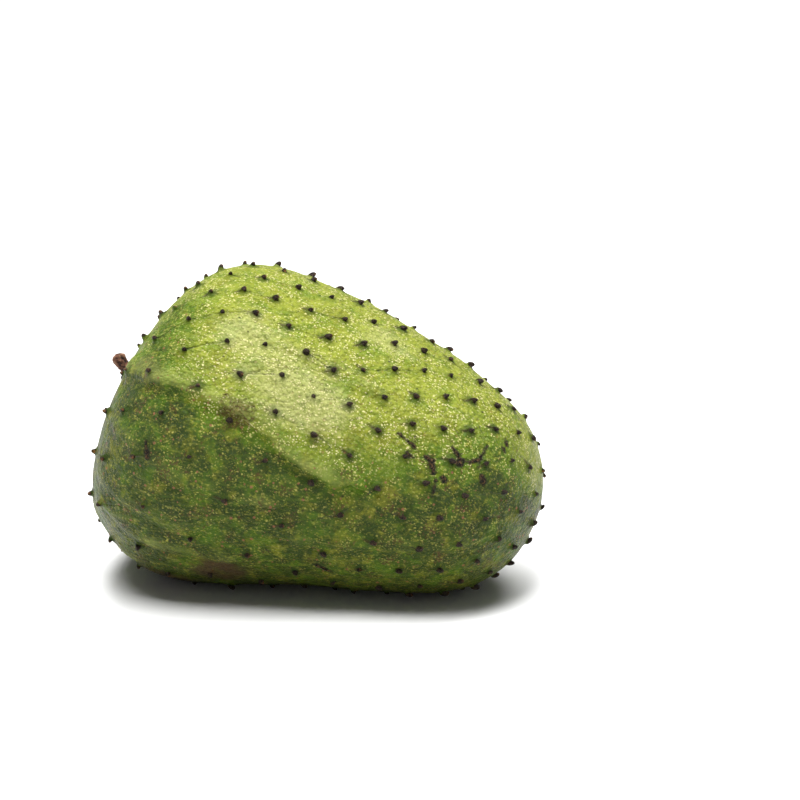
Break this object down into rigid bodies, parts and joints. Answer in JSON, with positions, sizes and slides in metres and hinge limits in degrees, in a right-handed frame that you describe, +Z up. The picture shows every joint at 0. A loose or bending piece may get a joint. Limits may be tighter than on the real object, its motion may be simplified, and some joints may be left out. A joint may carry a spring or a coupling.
{
  "type": "soursop fruit",
  "caption": "Whole green soursop lying on its side: an egg-shaped rind with small hooked spines and a short woody stem stub.",
  "frame": {"origin": "on the surface that the fruit lies on, under the middle of its bounding box", "axes": "+X along the fruit from its stem end to its blossom tip, +Y across it, +Z up"},
  "size_m": [0.2053, 0.1499, 0.1421],
  "materials": {
    "rind": "waxy green rind with fine pale freckles and dark spine tips",
    "stem_wood": "rough brown bark"
  },
  "bodies": {
    "root": {"fruit": "rind", "stem": "stem_wood"}
  },
  "joints": []
}
